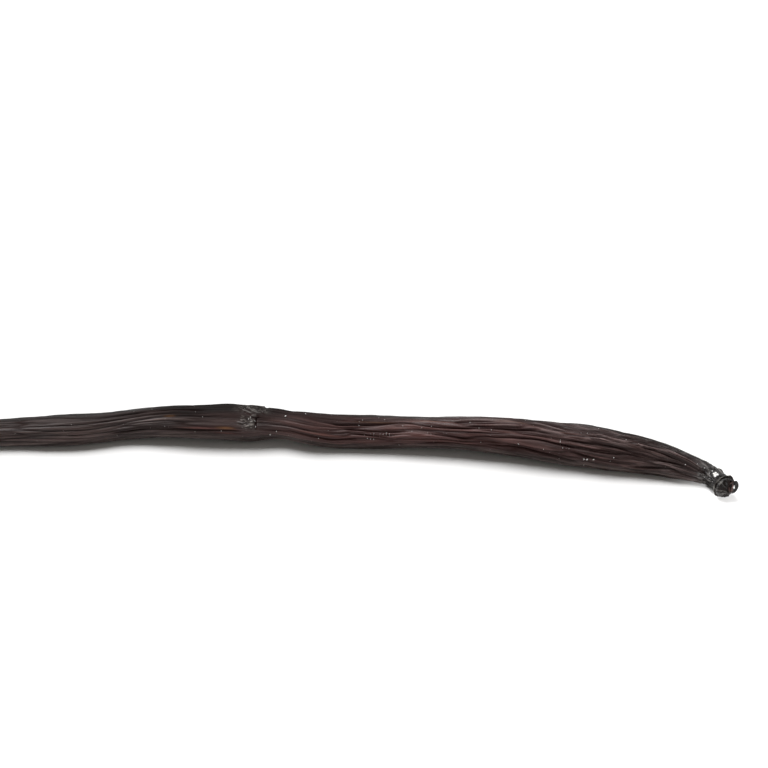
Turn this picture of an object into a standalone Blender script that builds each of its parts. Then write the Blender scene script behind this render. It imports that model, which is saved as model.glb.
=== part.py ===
"""A cured vanilla pod lying on its belly: one solid, swept along a curved spine.

Blender 4.5, metres, +Z up, +X from the blossom tip to the stem end, origin at the middle of the box's bottom face.
The skin is a stack of rings. Each ring is an oval set square to the spine, with long folds pressed into it and
its belly cut flat where it meets the table. The stem end narrows to a neck and flares into a collar, whose face
holds a ring-shaped groove, a low boss and one small nub.
"""

import math

import bmesh
import bpy
import numpy as np

MM = 0.001
NODE = "vanilla_pod"

# The pod in millimetres, from the blossom tip to the stem end.
# Each station is (along X, across Y, width, height).
STATIONS = [
    (-86.5, -2.3, 3.3, 3.1),  # blossom tip
    (-74.0, 1.5, 4.8, 4.1),
    (-50.0, 4.8, 5.8, 4.8),
    (-36.0, 5.4, 6.6, 5.5),  # low swelling
    (-26.5, 6.9, 6.1, 5.1),
    (-11.7, 6.5, 7.0, 5.9),
    (-1.5, 6.4, 7.3, 6.2),  # shoulder of the old scar
    (3.3, 5.8, 5.9, 4.9),  # waist
    (8.5, 4.4, 6.3, 5.3),
    (14.5, 4.5, 7.0, 5.9),
    (31.5, 3.1, 6.5, 5.4),
    (49.0, 0.7, 8.0, 6.7),
    (64.0, -2.4, 8.6, 7.3),  # thickest place
    (77.0, -6.0, 6.2, 5.5),
    (83.5, -9.8, 4.2, 4.1),  # neck
    (85.8, -14.6, 4.5, 4.4),  # stem collar
]
# How the underside rises along the pod: (along X, half length, height). Where it is negative, the belly is flatter.
ARCHES = [(-14.0, 20.0, 1.1), (5.5, 10.0, 1.5), (38.5, 22.0, 1.15), (72.0, 16.0, -0.25), (87.0, 5.0, 0.4)]

BELLY_CUT = 0.35  # how deep the table cuts the belly flat
TIP_ROUNDING = 1.6  # length of the rounded blossom tip
TIP_RINGS = 6
TIP_POINT = 0.12  # how far round the tip's quarter circle its first ring sits

# Long folds: (how many round the pod, depth as a share of the radius, start angle, turns along the pod, sway).
FOLDS = [
    (5, 0.024, 0.4, 0.45, 0.9),
    (7, 0.030, 2.1, -0.35, 1.1),
    (8, 0.026, 4.0, 0.60, 0.8),
]
FOLD_SWAY_LENGTH = 61.0  # the folds sway from side to side over this length
FOLD_FADE = 9.0  # folds fade out over this length at both ends
TWIST = math.radians(-50)  # how far the folds wind round the pod over its thick half
TWIST_CENTRE = 54.0  # along X
TWIST_EASE = 8.5  # the twist comes in over about four of these

# The stem end's profile: (distance past the last station, size as a share of the last station).
COLLAR = [
    (-1.8, 0.86),
    (-1.3, 0.85),
    (-0.85, 0.93),
    (-0.4, 1.02),
    (0.0, 1.00),
    (0.1, 0.90),
    (-0.25, 0.78),
    (-0.15, 0.64),
    (0.25, 0.42),
    (0.4, 0.20),
]
FACE_RING = 4  # the collar's face starts at this ring of the profile
NUB_ACROSS, NUB_UP = 1.6, 0.3  # from the collar's middle
NUB_RADIUS, NUB_HEIGHT = 1.0, 0.75

SECTORS = 40
RING_STEP = 1.9  # between rings along the body
WAIST_STEP = 0.9  # between rings at the waist
WAIST_FROM, WAIST_TO = -5.0, 13.0  # along X

SKIN_COLOUR = (0.052, 0.030, 0.026, 1.0)


def clear_scene():
    for obj in list(bpy.data.objects):
        bpy.data.objects.remove(obj, do_unlink=True)


def smooth_through(knots, values, at):
    """Cubic Hermite curve through the rows of values at the knots, each slope averaged from its two neighbours."""
    slopes = np.gradient(values, knots, axis=0)
    k = np.clip(np.searchsorted(knots, at, side="right") - 1, 0, len(knots) - 2)
    span = (knots[k + 1] - knots[k])[:, None]
    t = (at - knots[k])[:, None] / span
    return (
        (2 * t**3 - 3 * t**2 + 1) * values[k]
        + (t**3 - 2 * t**2 + t) * span * slopes[k]
        + (3 * t**2 - 2 * t**3) * values[k + 1]
        + (t**3 - t**2) * span * slopes[k + 1]
    )


def ring_distances(along_x, knots):
    """Where the body's rings sit along the spine: close together at the tip and the waist, wider elsewhere."""
    end = knots[-1] + COLLAR[0][0]
    waist_from, waist_to = np.interp([WAIST_FROM, WAIST_TO], along_x, knots)

    def evenly(start, stop, step):
        return np.linspace(start, stop, round((stop - start) / step), endpoint=False)

    quarter = np.linspace(TIP_POINT, 1, TIP_RINGS, endpoint=False) * math.pi / 2
    return np.concatenate(
        [
            TIP_ROUNDING * (1 - np.cos(quarter)),
            evenly(TIP_ROUNDING, waist_from, RING_STEP),
            evenly(waist_from, waist_to, WAIST_STEP),
            evenly(waist_to, end, RING_STEP),
        ]
    )


def arch_lift(x):
    """How far the underside is raised: a smooth hump for each arch."""
    return sum(
        rise * np.cos(np.clip(np.abs(x - middle) / half_length, 0, 1) * math.pi / 2) ** 2
        for middle, half_length, rise in ARCHES
    )


def fold_relief(angle, x, distance, end):
    """The long folds as a share of the radius: cosines round the pod that wind and sway along it."""
    twist = TWIST / (1 + np.exp((TWIST_CENTRE - x) / TWIST_EASE))
    along = 2 * math.pi * distance / FOLD_SWAY_LENGTH
    relief = 0
    for count, depth, start, turns, sway in FOLDS:
        phase = start + turns * along + sway * np.sin(along + start)
        relief = relief + depth * np.cos(count * (angle + twist) + phase)
    return relief * np.clip(np.minimum(distance, end - distance) / FOLD_FADE, 0, 1)


def nub_relief(across, up):
    """Height of the nub over the collar's face: a round bump with a flat top."""
    reach = np.hypot(across - NUB_ACROSS, up - NUB_UP) / NUB_RADIUS
    return NUB_HEIGHT * np.clip(1 - reach**3, 0, 1)


def skin_rings():
    """All rings as an array (ring, sector, xyz) in millimetres."""
    stations = np.array(STATIONS)
    steps = np.linalg.norm(np.diff(stations[:, :2], axis=0), axis=1)
    knots = np.concatenate([[0.0], np.cumsum(steps)])
    body = ring_distances(stations[:, 0], knots)
    past, collar_size = np.array(COLLAR).T
    distance = np.concatenate([body, np.full(len(past), knots[-1])])
    past = np.concatenate([np.zeros(len(body)), past])
    tip_size = np.sqrt(1 - np.clip(1 - body / TIP_ROUNDING, 0, 1) ** 2)
    size = np.concatenate([tip_size, collar_size])[:, None]

    x, y, width, height = smooth_through(knots, stations, distance).T
    ahead = smooth_through(knots, stations, np.minimum(distance + 0.5, knots[-1]))
    behind = smooth_through(knots, stations, np.maximum(distance - 0.5, 0.0))
    forward = (ahead - behind)[:, :2]
    forward /= np.linalg.norm(forward, axis=1)[:, None]

    angle = 2 * math.pi * np.arange(SECTORS)[None, :] / SECTORS
    swell = size * (1 + fold_relief(angle, x[:, None], distance[:, None], knots[-1]))
    across = width[:, None] / 2 * swell * np.cos(angle)
    up = height[:, None] / 2 * swell * np.sin(angle)
    on_face = np.arange(len(distance))[:, None] >= len(body) + FACE_RING
    out = past[:, None] + np.where(on_face, nub_relief(across, up), 0)

    middle_height = (height / 2 - BELLY_CUT + arch_lift(x))[:, None]
    return np.stack(
        [
            x[:, None] + forward[:, :1] * out - forward[:, 1:] * across,
            y[:, None] + forward[:, 1:] * out + forward[:, :1] * across,
            np.maximum(middle_height + up, 0),
        ],
        axis=2,
    )


def centred(rings):
    """Moves the rings so that the middle of their box's bottom face is at the origin."""
    low, high = rings.min(axis=(0, 1)), rings.max(axis=(0, 1))
    return rings - [(low[0] + high[0]) / 2, (low[1] + high[1]) / 2, low[2]]


def skin_mesh(rings):
    """Joins each ring to the next with quads, and closes both ends with a fan round the ring's middle."""
    bm = bmesh.new()
    loops = [[bm.verts.new(point) for point in ring * MM] for ring in rings]
    for ring, following in zip(loops, loops[1:]):
        for k in range(SECTORS):
            n = (k + 1) % SECTORS
            bm.faces.new((ring[k], ring[n], following[n], following[k]))
    for loop, ring in ((loops[0], rings[0]), (loops[-1], rings[-1])):
        middle = bm.verts.new(ring.mean(axis=0) * MM)
        for k in range(SECTORS):
            bm.faces.new((loop[k], loop[(k + 1) % SECTORS], middle))
    bmesh.ops.recalc_face_normals(bm, faces=bm.faces)
    bmesh.ops.triangulate(bm, faces=bm.faces)
    mesh = bpy.data.meshes.new(NODE)
    bm.to_mesh(mesh)
    bm.free()
    mesh.shade_smooth()
    return mesh


def skin_material():
    """Dark, oily, leathery skin."""
    material = bpy.data.materials.new("pod_skin")
    material.use_nodes = True
    shader = material.node_tree.nodes["Principled BSDF"]
    shader.inputs["Base Color"].default_value = SKIN_COLOUR
    shader.inputs["Roughness"].default_value = 0.45
    shader.inputs["Metallic"].default_value = 0.0
    return material


def main():
    clear_scene()
    mesh = skin_mesh(centred(skin_rings()))
    mesh.materials.append(skin_material())
    pod = bpy.data.objects.new(NODE, mesh)
    bpy.context.scene.collection.objects.link(pod)


main()
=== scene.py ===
"""The looks of one cured vanilla pod: wrinkled skin, the curl on its stem end, and the fine crystals on it.

Blender 4.5. Shapes are worked out with numpy in millimetres and put into meshes in metres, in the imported
model's own frame. The skin is a grid of two parameters: the distance along the pod's spine, from the blossom
tip, and the angle round it, from the outer side of the bow (0) over the top (90) to the inner side (180).
"""

import functools
import math

import bpy
import numpy as np
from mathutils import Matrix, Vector


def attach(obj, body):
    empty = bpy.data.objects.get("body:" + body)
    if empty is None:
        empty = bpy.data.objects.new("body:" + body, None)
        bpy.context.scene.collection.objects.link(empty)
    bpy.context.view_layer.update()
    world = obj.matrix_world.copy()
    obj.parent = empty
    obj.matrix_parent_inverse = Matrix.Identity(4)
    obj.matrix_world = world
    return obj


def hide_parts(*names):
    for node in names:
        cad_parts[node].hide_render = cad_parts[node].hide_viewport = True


MM = 0.001
POD = "vanilla_pod"

# ---------------- the pod's form, in millimetres

# Each station is (along X, across Y, width, height), from the blossom tip to the stem end.
STATIONS = np.array(
    [
        (-86.5, -2.3, 3.3, 3.1),  # blossom tip
        (-74.0, 1.5, 4.8, 4.1),
        (-50.0, 4.8, 5.8, 4.8),
        (-36.0, 5.4, 6.6, 5.5),  # low swelling
        (-26.5, 6.9, 6.1, 5.1),
        (-11.7, 6.5, 7.0, 5.9),
        (-1.5, 6.4, 7.3, 6.2),  # shoulder of the old scar
        (3.3, 5.8, 5.9, 4.9),  # waist
        (8.5, 4.4, 6.3, 5.3),
        (14.5, 4.5, 7.0, 5.9),
        (31.5, 3.1, 6.5, 5.4),
        (49.0, 0.7, 8.0, 6.7),
        (64.0, -2.4, 8.6, 7.3),  # thickest place
        (77.0, -6.0, 6.2, 5.5),
        (83.5, -9.8, 4.2, 4.1),  # neck
        (85.8, -14.6, 4.5, 4.4),  # stem collar
    ]
)
# How the underside rises: (along X, half length, height). Where that is negative, the belly is flatter.
ARCHES = [(-14.0, 20.0, 1.1), (5.5, 10.0, 1.5), (38.5, 22.0, 1.15), (72.0, 16.0, -0.25), (87.0, 5.0, 0.4)]
BELLY_CUT = 0.35  # how deep the table cuts the belly flat
BELLY_ROUNDING = 0.08  # softens the edge of that flat
TIP_ROUNDING = 1.6  # length of the rounded blossom tip

# The stem end's profile: (distance past the last station, size as a share of the last station).
STEM_PROFILE = np.array(
    [
        (-1.8, 0.87), (-1.3, 0.86), (-0.95, 0.91), (-0.65, 0.99), (-0.45, 1.02), (-0.42, 0.98),
        (-0.72, 0.94), (-0.68, 0.90), (-0.15, 0.885), (0.20, 0.85), (0.55, 0.75), (0.85, 0.58),
        (1.02, 0.36), (1.07, 0.16), (1.08, 0.03),
    ]
)

ROWS_TIP, ROWS_STEM, COLUMNS = 12, 52, 232
CROWDING = 0.25  # how far the columns crowd towards the top
STRIP_WIDTH = 22.0  # the skin's width when laid out as a flat strip
# The body's rows: (from this distance along the spine, spacing).
ROW_SPACING = [(TIP_ROUNDING, 0.70), (80.0, 0.16), (92.0, 0.60), (166.0, 0.25)]

STEPS = np.linalg.norm(np.diff(STATIONS[:, :2], axis=0), axis=1)
KNOTS = np.concatenate([[0.0], np.cumsum(STEPS)])  # distance of each station along the spine
LENGTH = KNOTS[-1]


def smooth_through(knots, values, at):
    """Cubic Hermite curve through rows of values at the knots, each slope averaged from its neighbours."""
    slopes = np.gradient(values, knots, axis=0)
    k = np.clip(np.searchsorted(knots, at, side="right") - 1, 0, len(knots) - 2)
    span = (knots[k + 1] - knots[k])[:, None]
    t = (at - knots[k])[:, None] / span
    return (
        (2 * t**3 - 3 * t**2 + 1) * values[k]
        + (t**3 - 2 * t**2 + t) * span * slopes[k]
        + (3 * t**2 - 2 * t**3) * values[k + 1]
        + (t**3 - t**2) * span * slopes[k + 1]
    )


def spine(distance):
    """x, y, width, height, lift and the unit vector forward, seen from above, at each distance along it."""
    x, y, width, height = smooth_through(KNOTS, STATIONS, distance).T
    ahead = smooth_through(KNOTS, STATIONS, np.minimum(distance + 0.5, LENGTH))
    behind = smooth_through(KNOTS, STATIONS, np.maximum(distance - 0.5, 0.0))
    forward = (ahead - behind)[:, :2]
    forward /= np.linalg.norm(forward, axis=1)[:, None]
    lift = sum(
        rise * np.cos(np.clip(np.abs(x - middle) / half_length, 0, 1) * math.pi / 2) ** 2
        for middle, half_length, rise in ARCHES
    )
    return x, y, width, height, lift, forward


def oval_surface(distance, past, size, angle, relief):
    """Points of the skin: an oval square to the spine, swollen by relief along its normal, flat below.

    distance and size have one value a row, past, angle and relief one a grid point. The oval is
    (width/2 cos, height/2 sin), its normal (cos/width, sin/height) made unit length.
    """
    x, y, width, height, lift, forward = spine(distance)
    half_width, half_height = width[:, None] / 2, height[:, None] / 2
    cos, sin = np.cos(angle), np.sin(angle)
    steep = np.hypot(cos / half_width, sin / half_height)
    across = half_width * size[:, None] * cos + relief * cos / half_width / steep
    up = half_height * size[:, None] * sin + relief * sin / half_height / steep
    z = (height / 2 - BELLY_CUT + lift)[:, None] + up
    z = (z + np.sqrt(z**2 + BELLY_ROUNDING**2)) / 2
    return np.stack(
        [
            x[:, None] + forward[:, :1] * past - forward[:, 1:] * across,
            y[:, None] + forward[:, 1:] * past + forward[:, :1] * across,
            z,
        ],
        axis=2,
    )


# ---------------- noise

NOISE_ROWS, NOISE_START = 512, 64.0  # cells before the noise repeats, and how many lie before nought


def flow_noise(along, turns, cells, seed):
    """Gradient noise in about -1 to 1. along counts cells without end, turns is the angle in whole turns,
    split into `cells` cells that close round the pod."""
    rng = np.random.default_rng(seed)
    slope = rng.uniform(0, 2 * math.pi, (NOISE_ROWS, cells))
    u, v = np.broadcast_arrays(along + NOISE_START, turns * cells)
    i, j = np.floor(u).astype(int), np.floor(v).astype(int)
    fu, fv = u - i, v - j
    total = 0
    su, sv = (t * t * t * (t * (t * 6 - 15) + 10) for t in (fu, fv))
    for di in (0, 1):
        for dj in (0, 1):
            g = slope[(i + di) % NOISE_ROWS, (j + dj) % cells]
            dot = np.cos(g) * (fu - di) + np.sin(g) * (fv - dj)
            total = total + dot * (su if di else 1 - su) * (sv if dj else 1 - sv)
    return total * 1.5


def billow(noise, softness):
    """Round ridges between sharp creases: the noise's absolute value, eased near nought."""
    return np.sqrt(noise**2 + softness**2) - softness


def plateau(noise, reach):
    """Broad flat ridges between narrow creases: the noise's absolute value, levelled off beyond reach."""
    return 1 - np.exp(-billow(noise, 0.02) / reach)


def bump_at(value, middle, half_width):
    """1 at the middle, falling smoothly to 0 at half_width to either side."""
    return np.cos(np.clip(np.abs(value - middle) / half_width, 0, 1) * math.pi / 2) ** 2


def ease(value, start, stop):
    """0 before start, 1 after stop, smooth between."""
    t = np.clip((value - start) / (stop - start), 0, 1)
    return t * t * (3 - 2 * t)


def near_nought(noise, reach):
    """1 where the noise is nought, falling straight to 0 where it is reach away from it."""
    return np.clip(1 - np.abs(noise) / reach, 0, 1)


def strongest(*shares):
    """The greatest of the shares at each place."""
    return functools.reduce(np.maximum, shares)


# ---------------- the skin's relief

# Long folds, as in the solid: (count round the pod, depth as a share of the radius, start, turns, sway).
FOLDS = [(5, 0.024, 0.4, 0.45, 0.9), (7, 0.030, 2.1, -0.35, 1.1), (8, 0.026, 4.0, 0.60, 0.8)]
FOLD_SWAY_LENGTH = 61.0
FOLD_FADE = 9.0
# The folds wind round the pod by this much over its thick half, about this place along X.
TWIST, TWIST_CENTRE, TWIST_EASE = math.radians(-50), 54.0, 8.5

RIDGE_LENGTH, NARROW_RIDGE_LENGTH, LUMP_LENGTH = 21.0, 15.0, 2.6  # they change over about this length
RIDGE_WANDER = math.radians(10)  # how far they wander round the pod
CREASE_PULL = math.radians(14)  # how near a deep crease has to be for the ridges to run beside it
THICK_END = (140, 152)  # over this stretch the ridges become narrower and more

# The deepest creases: ((distance along the spine, degrees round), ...) through which each one runs.
CREASES = [
    ((101, 121), (104, 120), (108, 117), (112, 111), (116, 107), (118.5, 116), (121, 124), (125, 128),
     (131, 124), (136, 118), (141, 113)),
    ((104, 97), (108, 96), (112, 87), (116, 78), (119.5, 86), (122, 94)),
    ((124, 101), (128, 98), (133, 93)),
    ((126, 121), (131, 117), (135, 112), (139, 104)),
    ((103, 134), (108, 141), (112, 144), (116, 140)),
    ((104, 150), (108, 156), (110.5, 161), (114, 169)),
    ((92, 163), (97, 170), (100, 176), (104, 172), (107, 168)),
    ((119, 146), (122, 155), (124.5, 161), (126.5, 164), (129, 154), (133, 152), (137, 147), (141, 143),
     (144, 148), (148, 153), (152, 156), (157, 154)),
    ((117, 196), (121, 189), (124, 187), (127, 190), (131, 184), (135, 180), (138, 179), (141, 186),
     (144, 191), (147, 201), (149, 207)),
    ((145, 159), (149, 168), (152, 173), (156, 175), (160, 172)),
    ((158, 190), (163, 179), (167, 169)),
    ((137, 86), (141, 96), (143.5, 105), (147, 112)),
    ((139, 75), (143, 86), (146, 97), (148.5, 103), (152, 97), (156, 93)),
    ((149, 117), (153, 114), (158, 113)),
    ((162, 86), (166, 91), (169, 99), (171, 109), (173, 120)),
    ((159, 118), (164, 121), (167, 126), (169.5, 132), (172, 139), (175, 150)),
    ((162, 153), (166, 145), (169, 141)),
    ((166, 172), (169, 180), (172, 187), (176, 193)),
    ((58, 171), (66, 173), (76, 176), (84, 172)),
    ((62, 101), (70, 98), (77, 102)),
    ((89, 146), (95, 150), (99, 156)),
]
CREASE_DEPTH, CREASE_HALF_WIDTH = 0.38, 0.17
# Finer dark lines, and light raised strands, placed in the same way.
FURROWS = [
    ((151, 114), (152.5, 115), (154.4, 120), (156, 120), (158.1, 114), (161, 118)),
    ((145, 87), (147.4, 92), (149.1, 99), (150.8, 96), (152.4, 88), (154, 89), (156.9, 97)),
    ((146.5, 89), (149.1, 95), (150.8, 92), (152.4, 84), (154, 85), (156.9, 93)),
    ((141, 93), (142.3, 98), (143.3, 107), (145.5, 110)),
    ((158.5, 100), (161.2, 91), (163.2, 81), (165.2, 80), (167.4, 83), (168.7, 92), (171, 104)),
    ((160, 121), (163.3, 114), (165.1, 114), (166.8, 121), (168.1, 123)),
    ((157, 143), (158.8, 144), (161.1, 146)),
    ((164, 152), (166.8, 141), (168, 138)),
    ((161, 180), (163.9, 174), (166.5, 168), (169.6, 185), (172, 190)),
    ((151, 134), (155, 133), (158, 138)),
    ((152, 149), (156, 146), (160, 149)),
    ((146, 130), (149, 136), (152, 138)),
    ((125, 107), (129.4, 107), (132.2, 105), (136, 100)),
    ((166, 158), (169, 152), (172, 153)),
    ((168, 112), (171, 122), (173, 130)),
    ((146, 150), (147.3, 156), (148.9, 167), (150.8, 173.5), (152.7, 177), (154.5, 177.5), (156.8, 179),
     (160, 180)),
    ((146.5, 154), (148.9, 169), (150.8, 175.5), (152.7, 179), (154.5, 179.5), (156.8, 181), (159, 182)),
    ((87.6, 164), (89, 168), (90.2, 169.5), (92.1, 170), (93.8, 170.5), (95.6, 172)),
    ((87.8, 167), (89, 170), (90.2, 171.5), (92.1, 172), (93.8, 172.5), (95.6, 174)),
    ((88, 170), (89, 172), (90.2, 173.5), (92.1, 174), (93.8, 174.5), (95.6, 176)),
]
FURROW_DEPTH, FURROW_HALF_WIDTH = 0.22, 0.15
# The strands' light colour is pale skin with a painted highlight along them.
STRANDS = [
    ((149, 110), (150.9, 106), (152, 102), (153.1, 106), (154.3, 109), (156.4, 110), (158.1, 108),
     (161, 113), (163.6, 108), (166, 107)),
    ((139, 80), (140.7, 89), (142.5, 94), (143.6, 99), (145.9, 109), (147, 113)),
    ((140.3, 105), (141.6, 112), (142.6, 115), (144.9, 119), (146.5, 121)),
    ((149.2, 128), (152.1, 119), (155.5, 124), (158, 127)),
    ((146.5, 77), (149.6, 85), (151.8, 82), (153.9, 78), (156.3, 88)),
    ((125, 91), (127.4, 91), (130.7, 88), (134.6, 91), (137, 93)),
    ((131, 111), (134.1, 108), (137, 106)),
    ((163, 92), (165, 93), (168, 105), (170.5, 115)),
    ((162, 160), (165, 156), (169, 163)),
]
STRAND_HEIGHT, STRAND_HALF_WIDTH = 0.18, 0.25

# The old scar: where its crack runs as (degrees round, distance), and how open it is as (degrees, share).
SCAR_PATH = [(50, 88.3), (85, 88), (100, 87.5), (122, 86.9), (142, 86.85), (163, 87.05), (205, 87.6)]
SCAR_OPEN = [(55, 0), (62, 0.5), (72, 0.05), (117, 0.05), (122, 1), (158, 1), (166, 0.1), (205, 0)]
CRACK_DEPTH, CRACK_HALF_WIDTH = 0.45, 0.115
SCAR_BULGE, SCAR_SINKING = 0.20, 0.16  # before and after the crack
SCAR_NOTCH_DEPTH, GATHER_HEIGHT, SCAB_HEIGHT = 0.30, 0.07, 0.16
# Short dark seams and light shreds of torn skin round the scar, listed like the creases.
SCAR_SEAMS = [
    ((84.2, 103), (85.2, 114.5), (86, 118.5)),
    ((84.1, 105), (85.1, 116), (85.9, 120)),
    ((84.5, 88), (85.3, 96), (85.9, 106)),
    ((87.5, 95), (88, 107), (88.5, 111)),
    ((87.6, 100), (88.1, 110), (88.5, 114)),
    ((85.8, 127), (86.7, 125), (87.5, 121.5)),
    ((85.8, 125), (86.7, 123.5), (87.5, 120)),
    ((83.5, 151), (84.6, 151)),
    ((85, 145), (86, 145)),
]
SCAR_SHREDS = [
    ((83.9, 93), (84.9, 104), (85.9, 113.5)),
    ((85.4, 90), (86.1, 100), (86.7, 105.5), (87.5, 104)),
    ((85.9, 121.5), (86.9, 119.5)),
    ((83, 144), (83.7, 144), (84.5, 146.5)),
    ((85.2, 151), (86.2, 151)),
    ((85, 84), (86, 93), (86.8, 98)),
]
SEAM_DEPTH, SEAM_HALF_WIDTH = 0.16, 0.10
SHRED_HEIGHT, SHRED_HALF_WIDTH = 0.10, 0.10
SCAR_LINE_FADE = 0.15  # how quickly these lines end, against 1 for the long ones

# Broad bumps and hollows: (distance, half length, degrees round, half width in degrees, height).
BUMPS = [
    (85, 4.5, 60, 34, -0.18),
    (85, 4, 215, 32, 0.22),
    (90.4, 3.4, 60, 36, 0.5),
    (98, 7, 78, 50, 0.4),
    (129, 9, 60, 30, -0.3),
    (148, 6, 55, 30, 0.14),
    (155, 5, 66, 30, -0.3),
]
# Coloured streaks, listed like the bumps, with a strength in place of the height.
PINK_STREAKS = [
    (76, 5, 167.5, 2.6, 0.75), (80.9, 2.8, 189, 3, 0.55), (101, 4.5, 162, 4, 1),
    (97.5, 4, 158, 7, 0.4), (132, 4, 171, 4, 0.3), (116, 4, 98, 4, 0.4),
    (146, 4, 115, 3, 0.3),
]
AMBER_STREAKS = [
    (80.9, 2.6, 165.5, 7, 0.85), (70.3, 1.5, 123, 7, 0.6), (110, 8, 109, 5, 0.28),
    (121, 5, 98, 5, 0.3), (136, 6, 92, 5, 0.25),
]
DARK_STREAKS = [
    (150.8, 6.5, 92, 9, 0.95), (145.4, 5, 88, 9, 0.8), (143.4, 3, 102, 6, 0.6),
    (131, 8, 104, 5, 0.5), (165.5, 7, 80, 9, 0.85), (165.5, 5, 117, 5, 0.5),
    (129, 5, 79, 5, 0.6),
]
# Painted highlights on glossy facets of the neck, listed like the streaks.
PAINTED_NECK_GLINTS = [
    (175, 1.3, 170, 12, 1), (174.9, 1.1, 138, 9, 0.8), (176.2, 0.9, 50, 14, 0.9),
    (174.9, 1.2, 58, 8, 0.7), (176.8, 0.6, 98, 12, 0.6), (172, 1.8, 174, 6, 0.4),
    (172.2, 1.4, 95, 6, 0.4), (173.6, 0.8, 160, 8, 0.4),
]
MAROON_STREAKS = [(78, 9, 168, 16, 0.8), (80.9, 5, 190, 9, 0.8)]

# Crystals: (distance, degrees round, size in millimetres).
CRYSTALS = [
    (149.5, 182.3, 0.5), (149.7, 181.5, 0.62), (149.9, 181.3, 0.62), (150.1, 182, 0.5),
    (151.5, 180, 0.5), (149.6, 205, 0.3), (154.9, 164, 0.38), (136.7, 162, 0.4), (141.5, 168, 0.24),
    (144.4, 142, 0.32), (144.6, 149, 0.22), (145.3, 158, 0.26), (148.4, 107, 0.2), (149.4, 108, 0.24),
    (144.6, 199, 0.22), (151, 81, 0.22), (129.1, 123, 0.22), (127.4, 102, 0.2), (131.2, 130, 0.2),
    (129.4, 175, 0.2), (168.6, 136, 0.34), (172.7, 117, 0.32), (170.5, 108, 0.22), (156.6, 103, 0.22),
    (92.4, 109, 0.42), (89.7, 193, 0.52), (91.1, 177, 0.3), (96.1, 85, 0.26), (79.6, 179, 0.24),
    (75.9, 127, 0.24), (98.2, 178, 0.28), (106.5, 93, 0.24), (106.4, 121, 0.26), (111.1, 92, 0.26),
    (114.3, 119, 0.24), (107.1, 156, 0.26), (108.2, 168, 0.34), (108.9, 170, 0.3), (116.5, 139, 0.2),
    (119.7, 118, 0.2), (118.2, 125, 0.2), (113.9, 203, 0.24), (175.3, 112, 0.75), (175.6, 106, 0.75),
    (175.8, 114, 0.95), (176.1, 107, 0.95), (176.3, 117, 0.85), (176.5, 110, 0.85), (176.1, 122, 0.55),
    (176.8, 112, 0.6), (174.7, 107, 0.35),
]
# Clusters of smaller ones: (distance, degrees round, spread along, spread in degrees, how many, size).
CLUSTERS = [
    (111, 151, 1.8, 2.5, 24, 0.21), (108.6, 169, 0.5, 3, 9, 0.22), (119.8, 147, 0.7, 5, 5, 0.2),
    (85.9, 135, 0.35, 4, 9, 0.26), (86.5, 157, 0.4, 3, 5, 0.24), (85, 85, 1.8, 12, 10, 0.2),
    (175, 150, 1, 40, 9, 0.22), (145, 150, 1, 9, 6, 0.2),
]
# Fine dust lies anywhere between two places, each (distance, degrees round).
DUST_COUNT, DUST_FROM, DUST_TO, DUST_SIZES = 170, (20, 30), (176, 330), (0.06, 0.15)
CRYSTAL_TILT = math.radians(16)
# White crystals on the stem end, placed where it shows glints, as painted highlights: (across, up and out
# from the collar's middle, size).
STEM_GLINT_CRYSTALS = [
    (0.98, 0.5, 1.05, 0.5), (0.98, 0.66, 1.05, 0.4), (0.72, 1.5, -0.15, 0.34), (1.42, 1.52, 1.1, 0.22),
    (1.5, 0.95, 1.2, 0.16),
]

CURL_AT = (0.98, 0.54)  # the curl's middle, across and up from the collar's middle
CURL_START, CURL_TURN, CURL_INNER_SIDE = math.radians(165), math.radians(400), math.radians(170)
CURL_ROWS, CURL_COLUMNS = 84, 24
PLACE = np.array([-0.7463, 2.5823, 0.0])  # from the spine's own coordinates to the imported model's frame

# Painted light and shade round the skin, as (degrees round, factor): painted shade makes it darkest between
# its outer side and its top, and a painted reflection of the white floor lightens its belly.
PAINTED_LIGHT_AND_SHADE_ROUND = [
    (0, 0.6), (60, 0.55), (85, 0.6), (110, 0.8), (130, 1), (185, 1), (205, 1.35), (235, 1.6),
    (275, 1.4), (320, 0.8), (360, 0.6),
]
# How red the skin is, as (distance, share).
REDNESS = [
    (0, 0.22), (70, 0.24), (88, 0.55), (96, 0.85), (112, 1), (130, 1), (145, 0.8), (158, 0.52),
    (168, 0.24), (173, 0.1), (178, 0.06),
]
# Painted shade on its upper side, as (distance, factor): how much of its colour it keeps there.
TOP_SHADE = [(0, 0.62), (55, 0.7), (66, 0.6), (74, 0.2), (86, 0.3), (100, 0.62), (112, 0.9), (120, 1)]


def line_path(places, distance, fade=1.0):
    """Angle of a line in each row, and how present it is: 1 along it, eased to 0 at both its ends."""
    at, degrees = np.array(places, float).T
    row = distance[:, :1]
    angle = smooth_through(at, np.radians(degrees)[:, None], np.clip(row[:, 0], at[0], at[-1]))
    present = ease(row, at[0] - fade, at[0] + 2.5 * fade)
    present = present * (1 - ease(row, at[-1] - 2.5 * fade, at[-1] + fade))
    return angle, present


def lines_along(paths, distance, angle, radius, half_width, fade=1.0):
    """How close each place is to the nearest of some lines: 1 on a line, falling off beyond half_width."""
    closest = 0
    for places in paths:
        path, present = line_path(places, distance, fade)
        away = (angle - path) * radius / half_width
        closest = np.maximum(closest, present * np.exp(-np.abs(away) ** 1.5))
    return closest


def along_table(table, at):
    """The table's value at each place, eased from row to row."""
    places, values = np.array(table, float).T
    k = np.clip(np.searchsorted(places, at, side="right") - 1, 0, len(places) - 2)
    return values[k] + (values[k + 1] - values[k]) * ease(at, places[k], places[k + 1])


def streaks(table, distance, degrees):
    """The sum of soft spots drawn out along the pod, each 0 outside its own length and width, at most 1."""
    total = 0
    for middle, half_length, at, half_width, strength in table:
        total = total + strength * bump_at(distance, middle, half_length) * bump_at(degrees, at, half_width)
    return np.minimum(total, 1)


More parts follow.
